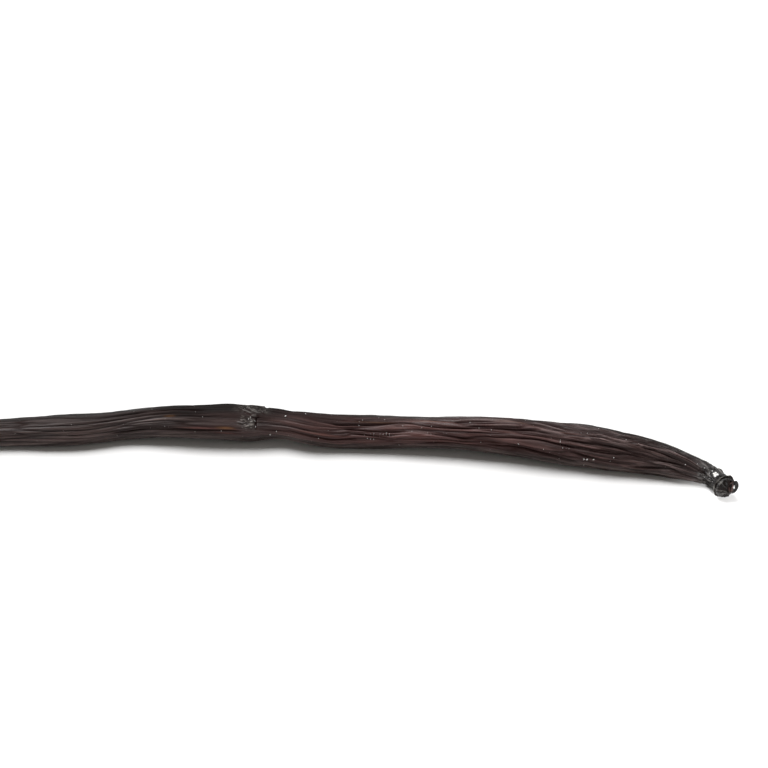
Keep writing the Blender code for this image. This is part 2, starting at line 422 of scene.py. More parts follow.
def fold_relief(distance, angle, radius, twist):
    """The solid's long folds: cosines round the pod that wind and sway along it."""
    sway = 2 * math.pi * distance / FOLD_SWAY_LENGTH
    folds = 0
    for count, depth, start, turns, swing in FOLDS:
        phase = start + turns * sway + swing * np.sin(sway + start)
        folds = folds + depth * np.cos(count * (angle + twist) + phase)
    return radius * folds * np.clip(np.minimum(distance, LENGTH - distance) / FOLD_FADE, 0, 1)


def ridge_flow(distance, angle, twist):
    """The angle at which the ridges' noise is read, in turns: it follows the nearest deep creases."""
    shift, weight = 0, 0
    for places in CREASES:
        path, present = line_path(places, distance)
        middle = math.radians(np.mean([degrees for _, degrees in places]))
        near = present * np.exp(-(((angle - path) / CREASE_PULL) ** 2))
        shift = shift + near * (path - middle)
        weight = weight + near
    wander = RIDGE_WANDER * flow_noise(distance / RIDGE_LENGTH, angle / (2 * math.pi), 5, 11)
    return (angle - shift / np.maximum(weight, 1) + wander + 0.6 * twist) / (2 * math.pi)


def ridge_relief(distance, flow, close):
    """Height of the ridges between the creases, and the wide, middling and narrow noises that shape them.

    It is the sum of each noise's round ridges and flat ridges, each less its mean, and of short fine lumps.
    """
    wide = flow_noise(distance / RIDGE_LENGTH, flow, 19, 21)
    middling = flow_noise(distance / RIDGE_LENGTH + 0.6 * wide, flow, 31, 22)
    narrow = flow_noise(distance / NARROW_RIDGE_LENGTH + 0.4 * middling, flow, 50, 23)
    ridges = (
        (0.30 - 0.12 * close) * (billow(wide, 0.03) - 0.3)
        + (0.17 - 0.05 * close) * (plateau(wide, 0.12) - 0.75)
        + (0.09 + 0.05 * close) * (billow(middling, 0.03) - 0.3)
        + (0.08 + 0.05 * close) * (plateau(middling, 0.14) - 0.75)
        + (0.04 + 0.17 * close) * (plateau(narrow, 0.20) - 0.65)
        + 0.07 * flow_noise(distance / LUMP_LENGTH + 1.5 * wide, flow, 36, 24)
    )
    return ridges, wide, middling, narrow


def scar_relief(distance, angle, degrees):
    """The old scar: the skin bulges before its crack and gathers there, is sunken after it, and has a scab.

    Returns the relief in millimetres, and the shares of the crack, the notch across it, its pale edge, the
    scab and the hollow after it, which is darkened with painted shade.
    """
    turns = angle / (2 * math.pi)
    past_crack = distance - along_table(SCAR_PATH, degrees) - 0.10 * flow_noise(distance * 0, turns, 60, 31)
    crack = along_table(SCAR_OPEN, degrees) * np.exp(-((past_crack / CRACK_HALF_WIDTH) ** 2))
    upper = 0.55 * bump_at(degrees, 142, 50) + bump_at(degrees, 62, 34)
    bulge = upper * ease(past_crack, -5.5, -0.6) * (1 - ease(past_crack, -0.6, 0.3))
    sunken = upper * ease(past_crack, -0.3, 0.3) * (1 - ease(past_crack, 1.5, 6.0))
    notch = bump_at(distance, 87.0, 1.2) * bump_at(degrees, 123.5, 3.0)
    waves = np.sin(distance * 1.1 + 7 * flow_noise(distance / 3.5, turns, 70, 32))
    gathers = waves * bump_at(past_crack, -2.2, 2.2) * bump_at(degrees, 141, 45)
    edge = bump_at(degrees, 145, 44) * ease(past_crack, -4.6, -1.6) * (1 - ease(past_crack, -0.35, 0.05))
    scab = bump_at(degrees, 80, 38) * ease(distance + 0.04 * (degrees - 84), 82.0, 84.6)
    scab = scab * (1 - ease(distance, 88.4, 89.8))
    lumps = billow(flow_noise(distance / 0.75, turns + distance / 55, 44, 33), 0.03) - 0.2
    # The hollow after the crack gets painted shade in the skin's colour.
    hollow = bump_at(degrees, 138, 36) * ease(past_crack, 0.0, 0.4) * (1 - ease(past_crack, 1.2, 3.2))
    relief = SCAR_BULGE * bulge - SCAR_SINKING * sunken - CRACK_DEPTH * crack - SCAR_NOTCH_DEPTH * notch
    relief = relief + GATHER_HEIGHT * gathers + SCAB_HEIGHT * scab * lumps
    return relief, crack, notch, edge, scab, hollow


def skin_shade(distance, degrees):
    """How much of its colour the skin keeps: less on its upper side and up to the old scar, as painted
    shade, and a little less near the thick end.
    """
    top = ease(degrees, 40, 60) * (1 - ease(degrees, 105, 135))
    shade = 1 - top * (1 - along_table(TOP_SHADE, distance))
    return shade * (1 - 0.32 * bump_at(distance, 76, 12)) * (1 - 0.14 * bump_at(distance, 138, 14))


def skin_relief(distance, angle):
    """The skin's relief over its smooth oval, in millimetres, the numbers its finish reads, and flow.

    The relief is the long folds, plus billowed flow noise at three widths for the ridges, plus the strands,
    the shreds, the broad bumps and the old scar, less the creases, the furrows and the seams.
    """
    x, _, width, height, _, _ = spine(distance[:, 0])
    radius = ((width + height) / 4)[:, None]
    degrees = np.degrees(angle) % 360
    twist = TWIST / (1 + np.exp((TWIST_CENTRE - x[:, None]) / TWIST_EASE))
    flow = ridge_flow(distance, angle, twist)

    scarred = ease(distance, 70, 82) * (1 - ease(distance, 94, 106))
    scarred = scarred * (1 - 0.5 * ease(np.abs(degrees - 120), 60, 120))
    calm = ease(distance, 3, 16) * (1 - 0.60 * scarred) * (1 - 0.7 * ease(distance, 167, 174))
    close = ease(distance, *THICK_END)
    ridges, wide, middling, narrow = ridge_relief(distance, flow, close)
    scar, crack, notch, edge, scab, hollow = scar_relief(distance, angle, degrees)
    crease = lines_along(CREASES, distance, angle, radius, CREASE_HALF_WIDTH)
    furrow = lines_along(FURROWS, distance, angle, radius, FURROW_HALF_WIDTH)
    strand = lines_along(STRANDS, distance, angle, radius, STRAND_HALF_WIDTH)
    seam = lines_along(SCAR_SEAMS, distance, angle, radius, SEAM_HALF_WIDTH, SCAR_LINE_FADE)
    shred = lines_along(SCAR_SHREDS, distance, angle, radius, SHRED_HALF_WIDTH, SCAR_LINE_FADE)
    # Where the pod is thin, its ridges are lower and its creases shallower.
    raised = STRAND_HEIGHT * strand + SHRED_HEIGHT * shred + streaks(BUMPS, distance, degrees) + scar
    pressed = CREASE_DEPTH * crease * np.clip(radius / 3.2, 0, 1.1)
    pressed = pressed + FURROW_DEPTH * furrow + SEAM_DEPTH * seam
    relief = fold_relief(distance, angle, radius, twist) + calm * (radius / 3.5) * ridges + raised - pressed

    lines = strongest(
        near_nought(wide, 0.10) * (1 - 0.4 * close),
        near_nought(middling, 0.13) * (0.55 + 0.25 * close),
        near_nought(narrow, 0.16 + 0.05 * close) * (0.25 + 0.75 * close),
    )
    lines = lines * calm * (1 - 0.7 * strand)
    red = along_table(REDNESS, distance) + streaks(MAROON_STREAKS, distance, degrees)
    shade = skin_shade(distance, degrees)
    finish = {
        # dark lines, creases, cracks and seams: their dark colour with painted shade in them
        "crease": np.clip(strongest(lines, crease, crack, notch, 0.9 * furrow, 0.9 * seam), 0, 1),
        "strand": strand,
        "close": close * (1 - ease(degrees, 185, 205)),
        # a painted highlight along the ridge crests
        "painted_crest_highlight": calm * ease(0.6 * np.abs(wide) + 0.6 * np.abs(middling), 0.20, 0.60) * (1 + 0.35 * close),
        # redness, faded to grey over the top and under the belly as a painted reflection
        "redness_with_painted_grey": np.clip(red * (1 - 0.9 * ease(degrees, 185, 210)) * ease(degrees, 60, 85), 0, 1),
        # painted light and shade: darker over the top and after the scar, lighter under the belly
        "painted_light_and_shade": along_table(PAINTED_LIGHT_AND_SHADE_ROUND, degrees) * shade * (1 - 0.35 * hollow),
        "dull": 1 - shade,
        "pink": streaks(PINK_STREAKS, distance, degrees),
        "amber": streaks(AMBER_STREAKS, distance, degrees),
        "dark": streaks(DARK_STREAKS, distance, degrees) * (1 - strand),
        # pale shreds of torn skin, and painted highlights on the neck's facets
        "shred_and_painted_glint": np.maximum(streaks(PAINTED_NECK_GLINTS, distance, degrees), 0.75 * shred),
        "rough": np.maximum(edge, scab),
        "scab": scab,
        "crumple": ease(distance, 154, 168) * bump_at(degrees, 66, 38),
        "ashen": edge,
    }
    return relief, finish, flow


# ---------------- the stem end


def stem_relief(distance, size, angle, on_face):
    """The stem end's relief in millimetres and two shares of its finish.

    face is how far the knob's face stands out along the spine, and swell how far the neck and rim stand out
    from their oval. dark covers the seams, slit, furrows and groove, with their dark colour and painted
    shade, flesh the torn place beside the slit.
    """
    # Across and up from the collar's middle.
    across = STATIONS[-1, 2] / 2 * size[:, None] * np.cos(angle)
    up = STATIONS[-1, 3] / 2 * size[:, None] * np.sin(angle)
    slit_at = -0.02 + 0.16 * np.sin(1.6 * up - 0.4)
    slit = np.exp(-(((across - slit_at) / 0.15) ** 2)) * bump_at(up, 0.75, 1.5)
    knobbly = flow_noise(across / 0.85, up / 15.0, 17, 51)
    creased = flow_noise(across / 0.55 + knobbly, up / 16.0 + 0.03 * knobbly, 17, 52)
    face = 0.42 * knobbly + 0.40 * (billow(creased, 0.03) - 0.3) - 0.70 * slit
    face = face - 0.45 * ease(across, 0.0, 0.5) * bump_at(up, 0.2, 1.9)
    inner = on_face[:, None] * (1 - ease(size[:, None], 0.76, 0.88))

    turns = angle / (2 * math.pi)
    degrees = np.degrees(angle) % 360
    along = distance[:, None] - LENGTH
    on_neck = ease(along, -9.0, -4.5) * (1 - on_face[:, None])
    near_rim = ease(size, 0.88, 0.97)[:, None] * (along >= 0)
    lumps = flow_noise(0 * turns, turns, 13, 54)
    swell = near_rim * (0.09 * lumps + 0.20 * bump_at(degrees, 52, 26))
    folds = flow_noise(along / 2.6, turns, 14, 55)
    dents = flow_noise(along / 1.9 + folds, turns + 0.02 * folds, 24, 56)
    neck = on_neck * (1 - 0.8 * near_rim)
    swell = swell + neck * (0.55 * (billow(folds, 0.03) - 0.3) + 0.34 * (plateau(dents, 0.30) - 0.5))
    # The neck is pinched in on its inner side, just before the collar.
    swell = swell - 0.45 * neck * bump_at(degrees, 200, 75)
    furrow = neck * strongest(near_nought(folds, 0.11), near_nought(dents, 0.10))
    seam = inner * near_nought(creased, 0.18)
    groove = on_face[:, None] * bump_at(size[:, None], 0.925, 0.045)
    flesh = on_face[:, None] * bump_at(across, 0.60, 0.45) * bump_at(up, -0.25, 0.50)
    # Right of the slit the face is torn and nearly black.
    torn = inner * ease(across, -0.05, 0.30) * (1 - flesh)
    dark = strongest(slit * inner, furrow, seam * 0.8, groove, 0.85 * torn)
    return face * inner, swell, dark, flesh


# ---------------- meshes


def grid_faces(rows, columns):
    """Quads of a grid whose columns close round: each joins a row to the next, wound to point outwards."""
    row, column = np.meshgrid(np.arange(rows - 1), np.arange(columns), indexing="ij")
    after = (column + 1) % columns
    here, ahead = row * columns, (row + 1) * columns
    return np.stack([here + column, here + after, ahead + after, ahead + column], axis=2).reshape(-1, 4)


def capped_tube(points):
    """Vertices and faces of a closed tube: the grid of points, and a fan over each end round its middle."""
    rows, columns, _ = points.shape
    first, last = rows * columns, rows * columns + 1
    vertices = np.vstack([points.reshape(-1, 3), points[0].mean(axis=0), points[-1].mean(axis=0)])
    ring = np.arange(columns)
    after = (ring + 1) % columns
    start_fan = np.stack([after, ring, np.full(columns, first)], axis=1)
    base = (rows - 1) * columns
    end_fan = np.stack([base + ring, base + after, np.full(columns, last)], axis=1)
    return vertices, grid_faces(rows, columns).tolist() + start_fan.tolist() + end_fan.tolist()


def new_object(name, data):
    """An object at the origin, linked to the scene."""
    thing = bpy.data.objects.new(name, data)
    bpy.context.scene.collection.objects.link(thing)
    return thing


def mesh_piece(name, vertices, faces, material, smooth=True):
    """A piece of the pod from points in millimetres, smooth-shaded or faceted."""
    mesh = bpy.data.meshes.new(name)
    mesh.from_pydata((vertices * MM).tolist(), [], faces)
    if smooth:
        mesh.shade_smooth()
    mesh.materials.append(material)
    piece = new_object(name, mesh)
    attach(piece, "root")
    return piece


def add_attribute(piece, name, values):
    """A number for each vertex, which the piece's material reads by name."""
    attribute = piece.data.attributes.new(name, "FLOAT", "POINT")
    attribute.data.foreach_set("value", np.ascontiguousarray(values, np.float32).ravel())


def add_strip_map(piece, across, along):
    """A UV map in millimetres: across is the way round the pod, along the distance from the blossom tip."""
    layer = piece.data.uv_layers.new(name="strip")
    corners = np.empty(len(piece.data.loops), np.int32)
    piece.data.loops.foreach_get("vertex_index", corners)
    places = np.stack([across[corners], along[corners]], axis=1)
    layer.uv.foreach_set("vector", places.astype(np.float32).ravel())


def skin_rows():
    """Distance along the spine, distance past its end, and size of each row of the skin's grid."""
    quarter = np.linspace(0.03, 1, ROWS_TIP, endpoint=False) * math.pi / 2
    pieces = [TIP_ROUNDING * (1 - np.cos(quarter))]
    stops = [start for start, _ in ROW_SPACING[1:]] + [LENGTH + STEM_PROFILE[0, 0]]
    for (start, spacing), stop in zip(ROW_SPACING, stops):
        pieces.append(np.linspace(start, stop, round((stop - start) / spacing), endpoint=False))
    along = np.concatenate(pieces)
    steps = np.linalg.norm(np.diff(STEM_PROFILE * [1, STATIONS[-1, 3] / 2], axis=0), axis=1)
    run = np.concatenate([[0.0], np.cumsum(steps)])
    stem = smooth_through(run, STEM_PROFILE, np.linspace(0, run[-1], ROWS_STEM))
    tip_size = np.sqrt(1 - np.clip(1 - along / TIP_ROUNDING, 0, 1) ** 2)
    narrowing = 1 - (1 - STEM_PROFILE[0, 1]) * ease(along, stops[-1] - 6.0, stops[-1])
    size = np.concatenate([tip_size * narrowing, stem[:, 1]])
    distance = np.concatenate([along, np.full(ROWS_STEM, LENGTH)])
    past = np.concatenate([np.zeros(len(along)), stem[:, 0]])
    return distance, past, size


def make_skin(material):
    """The whole skin as one closed grid: the oval surface, swollen by its relief.

    Returns the distance of its rows, the angle of its columns and its points, for the crystals to sit on.
    """
    distance, past, size = skin_rows()
    turn = np.linspace(0, 1, COLUMNS, endpoint=False)
    # Columns crowd towards the top and thin out under the belly.
    angle = 2 * math.pi * turn + CROWDING * np.cos(2 * math.pi * turn)
    angle = np.broadcast_to(angle, (len(distance), COLUMNS))
    along = np.broadcast_to(distance[:, None], angle.shape)
    relief, finish, flow = skin_relief(along, angle)
    fade = ease(size, 0.05, 0.9)[:, None]
    past_rim = np.maximum.accumulate(size * (distance >= LENGTH)) - size
    on_face = ((distance >= LENGTH) & (past_rim > 0.02)) * 1.0
    face, swell, dark, finish["flesh"] = stem_relief(distance, size, angle, on_face)
    finish["crease"] = np.maximum(finish["crease"] * fade, dark)
    finish["stem"] = np.broadcast_to(ease(distance, LENGTH - 8.5, LENGTH - 4.0)[:, None], angle.shape)
    turned = np.degrees(angle) % 360
    worn = ease(flow_noise(0 * turned, angle / (2 * math.pi), 11, 57), -0.35, 0.25)
    rim = bump_at(size, 1.01, 0.035)[:, None] * (0.15 + 0.85 * worn)
    rim = rim * (0.35 + 0.65 * bump_at(turned, 175, 60))
    # A painted highlight along the dome's shoulder, inside the groove.
    shoulder = 0.55 * (bump_at(size, 0.86, 0.035) * on_face)[:, None] * bump_at(turned, 140, 34) * worn
    finish["rim"] = np.maximum(rim * (distance >= LENGTH)[:, None], shoulder)
    finish["crumple"] = np.maximum(finish["crumple"], finish["stem"])
    points = oval_surface(distance, past[:, None] + face, size, angle, relief * fade + swell) + PLACE
    vertices, faces = capped_tube(points)
    skin = mesh_piece("pod_skin", vertices, faces, material)
    for name, values in finish.items():
        add_attribute(skin, name, np.concatenate([values.ravel(), values[0, :1], values[-1, :1]]))
    arc = np.concatenate([(flow * STRIP_WIDTH).ravel(), [0.0, 0.0]])
    add_strip_map(skin, arc, np.concatenate([along.ravel(), [0.0, LENGTH]]))
    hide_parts(POD)
    return distance, angle, points


def stem_places(across, up, out):
    """Points across, up and out from the collar's middle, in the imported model's frame."""
    x, y, _, height, lift, forward = (value[0] for value in spine(np.array([LENGTH])))
    along_x = x + forward[0] * out - forward[1] * across
    along_y = y + forward[1] * out + forward[0] * across
    return np.stack([along_x, along_y, height / 2 - BELLY_CUT + lift + up], axis=-1) + PLACE


def skin_spots(distance, angle, points, at, degrees):
    """Point and outward direction of the skin at each distance and degrees round."""
    row = np.clip(np.searchsorted(distance, at), 1, len(distance) - 2)
    away = (angle[:1] - np.radians(degrees)[:, None] + math.pi) % (2 * math.pi) - math.pi
    column = np.argmin(np.abs(away), axis=1)
    round_pod = points[row, (column + 1) % points.shape[1]] - points[row, column - 1]
    outward = np.cross(round_pod, points[row + 1, column] - points[row - 1, column])
    return points[row, column], outward / np.linalg.norm(outward, axis=1)[:, None]


def turned_about(axis, angles):
    """For each angle, the matrix that turns a row of coordinates about one axis."""
    first, second = (axis + 1) % 3, (axis + 2) % 3
    turns = np.tile(np.eye(3), (len(angles), 1, 1))
    turns[:, first, first] = turns[:, second, second] = np.cos(angles)
    turns[:, first, second], turns[:, second, first] = np.sin(angles), -np.sin(angles)
    return turns


def make_crystals(material, distance, angle, points):
    """Small eight-sided crystals: those listed one by one on the skin, the clusters, fine dust, and those on
    the stem end that paint its glints.
    """
    rng = np.random.default_rng(71)
    seeds = [np.array(CRYSTALS, float)]
    for at, degrees, length, spread, count, size in CLUSTERS:
        drawn = rng.normal(0, 1, (count, 2)) * [length, spread] + [at, degrees]
        seeds.append(np.column_stack([drawn, size * rng.uniform(0.4, 1.0, count) ** 1.5]))
    dust = rng.uniform(DUST_FROM, DUST_TO, (DUST_COUNT, 2))
    seeds.append(np.column_stack([dust, rng.uniform(*DUST_SIZES, DUST_COUNT)]))
    at, degrees, size = np.vstack(seeds).T
    spots, outward = skin_spots(distance, angle, points, at, degrees % 360)
    stem_across, stem_up, stem_out, stem_size = np.array(STEM_GLINT_CRYSTALS).T
    spots = np.vstack([spots, stem_places(stem_across, stem_up, stem_out)])
    outward = np.vstack([outward, np.zeros((len(stem_size), 3))])
    size = np.concatenate([size, stem_size])
    total = len(size)
    # Each lies with one facet about level, turned any way round and tilted a little.
    facet_up = np.array([[1, -1, 0], [1, 1, -2], [1, 1, 1]]) / np.sqrt([[2.0], [6.0], [3.0]])
    spin, tilt = rng.uniform(0, 2 * math.pi, total), rng.normal(0, CRYSTAL_TILT, total)
    turns = facet_up.T @ turned_about(2, spin) @ turned_about(0, tilt)
    corners_of_one = np.vstack([np.eye(3), -np.eye(3)])
    shape = corners_of_one[None] * rng.uniform(0.5, 1.0, (total, 1, 3)) * size[:, None, None] / 2
    vertices = shape @ turns + (spots + outward * size[:, None] * 0.15)[:, None, :]
    vertices[:, :, 2] = np.maximum(vertices[:, :, 2], 0)
    x, y, z, back_x, back_y, back_z = range(6)
    upper = [(x, y, z), (y, back_x, z), (back_x, back_y, z), (back_y, x, z)]
    lower = [(y, x, back_z), (back_x, y, back_z), (back_y, back_x, back_z), (x, back_y, back_z)]
    facets = np.array(upper + lower)
    faces = (facets[None] + 6 * np.arange(total)[:, None, None]).reshape(-1, 3).tolist()
    mesh_piece("crystals", vertices.reshape(-1, 3), faces, material, smooth=False)


def make_curl(material):
    """The dried curl on the collar's face: a lumpy tube bent round a small hole, thin on its inner side."""
    t = np.linspace(0, 1, CURL_ROWS)
    turn = CURL_START - t * CURL_TURN
    tight = 1 - 0.10 * t
    outer = (1 - np.cos(turn - CURL_INNER_SIDE)) / 2  # 0 at its inner side, 1 at its outer side
    across = CURL_AT[0] + (0.46 + 0.40 * outer) * tight * np.cos(turn)
    up = CURL_AT[1] + (1.00 + 0.08 * outer) * tight * np.sin(turn) - 0.17 * np.cos(turn)
    out = 0.70 + 0.35 * ease(t, 0.0, 0.20) + 0.30 * ease(t, 0.55, 1.0) + 0.10 * np.sin(9 * t)
    middle = stem_places(across, up, out)  # of the tube
    along = np.gradient(middle, axis=0)
    along /= np.linalg.norm(along, axis=1)[:, None]
    facing = stem_places(0.0, 0.0, 1.0) - stem_places(0.0, 0.0, 0.0)
    side = np.cross(along, facing)
    side /= np.linalg.norm(side, axis=1)[:, None]
    top = np.cross(side, along)
    angle = np.linspace(0, 2 * math.pi, CURL_COLUMNS, endpoint=False)[None, :]
    knots = flow_noise(t[:, None] * 11, angle / (2 * math.pi), 6, 61)
    ends = np.sqrt(np.clip(1 - (2 * t - 1) ** 12, 0.02, 1))
    radius = ((0.15 + 0.25 * ease(outer, 0.10, 0.60)) * ends)[:, None] * (1 + 0.40 * knots)
    tube = middle[:, None] + radius[:, :, None] * (
        np.cos(angle)[:, :, None] * side[:, None] + 0.5 * np.sin(angle)[:, :, None] * top[:, None]
    )
    vertices, faces = capped_tube(tube)
    curl = mesh_piece("stem_curl", vertices, faces, material)
    inner = np.broadcast_to((1 - ease(outer, 0.05, 0.45))[:, None], knots.shape)
    lip = bump_at(np.broadcast_to(angle, knots.shape) % (2 * math.pi), math.pi, 0.9)
    flesh = np.maximum(inner, 0.6 * lip * (knots > 0))
    add_attribute(curl, "flesh", np.concatenate([flesh.ravel(), np.zeros(2)]))


# ---------------- materials

# Colours, linear. A pair is (in the hollows, on the ridges); on the skin, the lighter one is partly a
# painted highlight along the ridge crests.
GREY_SKIN = (0.032, 0.0255, 0.0245), (0.088, 0.068, 0.064)
RED_SKIN = (0.042, 0.0165, 0.0152), (0.122, 0.056, 0.051)
FLAKY_SKIN = (0.034, 0.025, 0.023), (0.26, 0.232, 0.212)
SCABBY_SKIN = (0.018, 0.015, 0.014), (0.165, 0.150, 0.140)
# Crumpled skin and stem: near-black, with light patches that are partly painted sheen on glossy folds.
CRUMPLED_SKIN_AND_SHEEN = (0.011, 0.009, 0.0085), (0.125, 0.112, 0.108)
STEM_SKIN_AND_SHEEN = (0.005, 0.0046, 0.0043), (0.070, 0.066, 0.062)
# Dark colour of the creases, with painted shade in them.
GREY_CREASE_AND_SHADE, RED_CREASE_AND_SHADE = (0.009, 0.0045, 0.004), (0.030, 0.0085, 0.0076)
THREAD, DASH = (0.150, 0.068, 0.060), (0.028, 0.0105, 0.0095)
PALE_STRAND_AND_HIGHLIGHT, DARK_STREAK = (0.262, 0.186, 0.180), (0.026, 0.0095, 0.0085)
PINK, AMBER = (0.24, 0.105, 0.088), (0.21, 0.098, 0.038)
# The rim's colour also paints a highlight on the dome's shoulder.
FLESH, PALE_RIM_AND_HIGHLIGHT, PALE_SHRED_AND_PAINTED_GLINT = (0.075, 0.045, 0.040), (0.30, 0.280, 0.255), (0.21, 0.195, 0.188)
DULL_CRYSTAL, WHITE_CRYSTAL = (0.86, 0.82, 0.78), (0.98, 0.95, 0.92)
CURL_SKIN, CURL_FLESH = (0.0045, 0.0040, 0.0038), (0.055, 0.033, 0.029)
# Heights of the bumps in the skin's finish, in metres.
WRINKLE_HEIGHT, TORN_HEIGHT, GRAIN_HEIGHT = 0.00009, 0.00030, 0.00007


def new_material(name):
    """A new node material, its node tree and its shader."""
    material = bpy.data.materials.new(name)
    material.use_nodes = True
    tree = material.node_tree
    shader = tree.nodes["Principled BSDF"]
    return material, tree, shader


def set_inputs(tree, node, inputs):
    """Joins a node's inputs to other nodes' outputs, or sets them to numbers, places or colours."""
    for key, value in inputs.items():
        socket = node.inputs[key]
        if isinstance(value, bpy.types.NodeSocket):
            tree.links.new(value, socket)
        elif socket.type == "RGBA":
            socket.default_value = (*value, 1)
        else:
            socket.default_value = value


def add_node(tree, kind, inputs=None, **settings):
    """A new shader node with its inputs, and settings of its own."""
    node = tree.nodes.new("ShaderNode" + kind)
    for key, value in settings.items():
        setattr(node, key, value)
    set_inputs(tree, node, inputs or {})
    return node


def noise_on(tree, places, scale, detail, roughness=0.5):
    """Noise from 0 to 1 at some places."""
    inputs = {"Vector": places, "Scale": scale, "Detail": detail, "Roughness": roughness}
    return add_node(tree, "TexNoise", inputs).outputs["Fac"]


def bumped(tree, height, distance, strength=1.0, **under):
    """The normal of a surface that a height bumps, over the normal under it."""
    inputs = {"Height": height, "Distance": distance, "Strength": strength, **under}
    return add_node(tree, "Bump", inputs).outputs["Normal"]


def skin_material():
    """Dark, oily, leathery skin: red-brown ridges, near-black creases, fine wrinkles and a tight grain."""
    material, tree, shader = new_material("pod_skin")
    strip = add_node(tree, "UVMap", uv_map="strip").outputs["UV"]

    def share(name):
        return add_node(tree, "Attribute", attribute_name=name).outputs["Fac"]

    def stretched_noise(across, along, detail, seed, turned=0.0):
        inputs = {"Vector": strip, "Scale": (across, along, 1), "Location": (seed, seed, 0)}
        inputs["Rotation"] = (0, 0, math.radians(turned))
        mapping = add_node(tree, "Mapping", inputs, vector_type="TEXTURE" if turned else "POINT")
        return noise_on(tree, mapping.outputs["Vector"], 1.0, detail, 0.6)

    def stepped(value, low, high, to_low=0.0, to_high=1.0):
        inputs = {"Value": value, "From Min": low, "From Max": high, "To Min": to_low, "To Max": to_high}
        return add_node(tree, "MapRange", inputs).outputs["Result"]

    def sum_of(*values, operation="ADD"):
        total = values[0]
        for value in values[1:]:
            total = add_node(tree, "Math", {0: total, 1: value}, operation=operation).outputs["Value"]
        return total

    def product_of(*values):
        return sum_of(*values, operation="MULTIPLY")

    def mixed(share_above, below, above, blend="MIX"):
        inputs = {"Factor": share_above, "A": below, "B": above}
        return add_node(tree, "Mix", inputs, data_type="RGBA", blend_type=blend).outputs["Result"]

    wrinkles = stretched_noise(3.4, 0.22, 3.0, 3.0)
    streak = stretched_noise(1.5, 0.06, 2.0, 17.0)
    threads = stretched_noise(4.5, 0.09, 2.0, 29.0)
    dashes = stretched_noise(2.3, 0.30, 2.0, 61.0)
    fibres = stretched_noise(2.4, 0.10, 2.0, 67.0)
    scaly = stretched_noise(4.4, 1.1, 3.0, 41.0)
    strands = stretched_noise(0.20, 0.90, 3.0, 47.0, turned=24.0)
    grain = noise_on(tree, add_node(tree, "TexCoord").outputs["Object"], 4500.0, 3.0, 0.6)
    crease = share("crease")

    # Streaks of tone, plus a painted highlight along the ridge crests, choose between dark and light skin.
    streak_and_highlight_share = stepped(sum_of(streak, stepped(share("painted_crest_highlight"), 0, 1, 0.0, 0.26)), 0.46, 0.82)
    grey = mixed(streak_and_highlight_share, *GREY_SKIN)
    red = mixed(streak_and_highlight_share, *RED_SKIN)
    colour = mixed(share("redness_with_painted_grey"), grey, red)
    thread_share = product_of(stepped(threads, 0.56, 0.72, 0.0, 0.26), share("redness_with_painted_grey"))
    colour = mixed(thread_share, colour, THREAD)
    colour = mixed(stepped(share("dark"), 0, 1, 0.0, 0.85), colour, DARK_STREAK)
    # Light strands: pale, with a painted highlight along them.
    colour = mixed(stepped(share("strand"), 0, 1, 0.0, 0.92), colour, PALE_STRAND_AND_HIGHLIGHT)
    close = share("close")
    dash_share = product_of(stepped(dashes, 0.47, 0.38), stepped(close, 0, 1, 0.15, 0.85))
    colour = mixed(dash_share, colour, DASH)
    fibre_share = product_of(stepped(fibres, 0.40, 0.60, -0.34, 0.28), stepped(close, 0, 1, 0.30, 1.0))
    colour = mixed(1.0, colour, stepped(fibre_share, -1.0, 1.0, 0.0, 2.0), blend="MULTIPLY")
    # Painted light and shade: darker over the top, lighter under the belly.
    colour = mixed(1.0, colour, share("painted_light_and_shade"), blend="MULTIPLY")
    for name, paint in (("pink", PINK), ("amber", AMBER)):
        colour = mixed(share(name), colour, paint)
    flakes = stepped(sum_of(scaly, stepped(share("ashen"), 0, 1, -0.05, 0.01)), 0.52, 0.60)
    colour = mixed(share("rough"), colour, mixed(flakes, *FLAKY_SKIN))
    colour = mixed(share("scab"), colour, mixed(stepped(strands, 0.52, 0.64), *SCABBY_SKIN))
    facets = stepped(stretched_noise(1.0, 0.6, 3.0, 53.0), 0.51, 0.59)
    crumple = share("crumple")
    stem = share("stem")
    # Crumpled skin and the stem: near-black, with light patches partly painted sheen on glossy folds.
    colour = mixed(crumple, colour, mixed(facets, *CRUMPLED_SKIN_AND_SHEEN))
    colour = mixed(stem, colour, mixed(facets, *STEM_SKIN_AND_SHEEN))
    # Creases, cracks and seams: dark colour, darkened further as painted shade.
    colour = mixed(crease, colour, mixed(share("redness_with_painted_grey"), GREY_CREASE_AND_SHADE, RED_CREASE_AND_SHADE))
    # Pale shreds of torn skin and painted highlights on the neck's facets come last, with the flesh and the
    # rim.
    for name, paint in (("flesh", FLESH), ("rim", PALE_RIM_AND_HIGHLIGHT), ("shred_and_painted_glint", PALE_SHRED_AND_PAINTED_GLINT)):
        colour = mixed(share(name), colour, paint)

    roughness = sum_of(
        stepped(share("dull"), 0, 0.5, 0.0, 0.55),
        stepped(grain, 0.3, 0.7, 0.31, 0.48),
        stepped(crease, 0, 1, 0.0, 0.3),
        stepped(stem, 0, 1, 0.0, -0.24),
    )
    torn = sum_of(
        product_of(scaly, sum_of(share("ashen"), stepped(crumple, 0, 1, 0.0, 0.55))),
        product_of(strands, share("scab")),
    )
    normal = bumped(tree, wrinkles, WRINKLE_HEIGHT)
    normal = bumped(tree, torn, TORN_HEIGHT, Normal=normal)
    normal = bumped(tree, grain, GRAIN_HEIGHT, 0.8, Normal=normal)
    set_inputs(tree, shader, {"Base Color": colour, "Roughness": roughness, "Normal": normal})
    set_inputs(tree, shader, {"Specular IOR Level": 0.26})
    return material


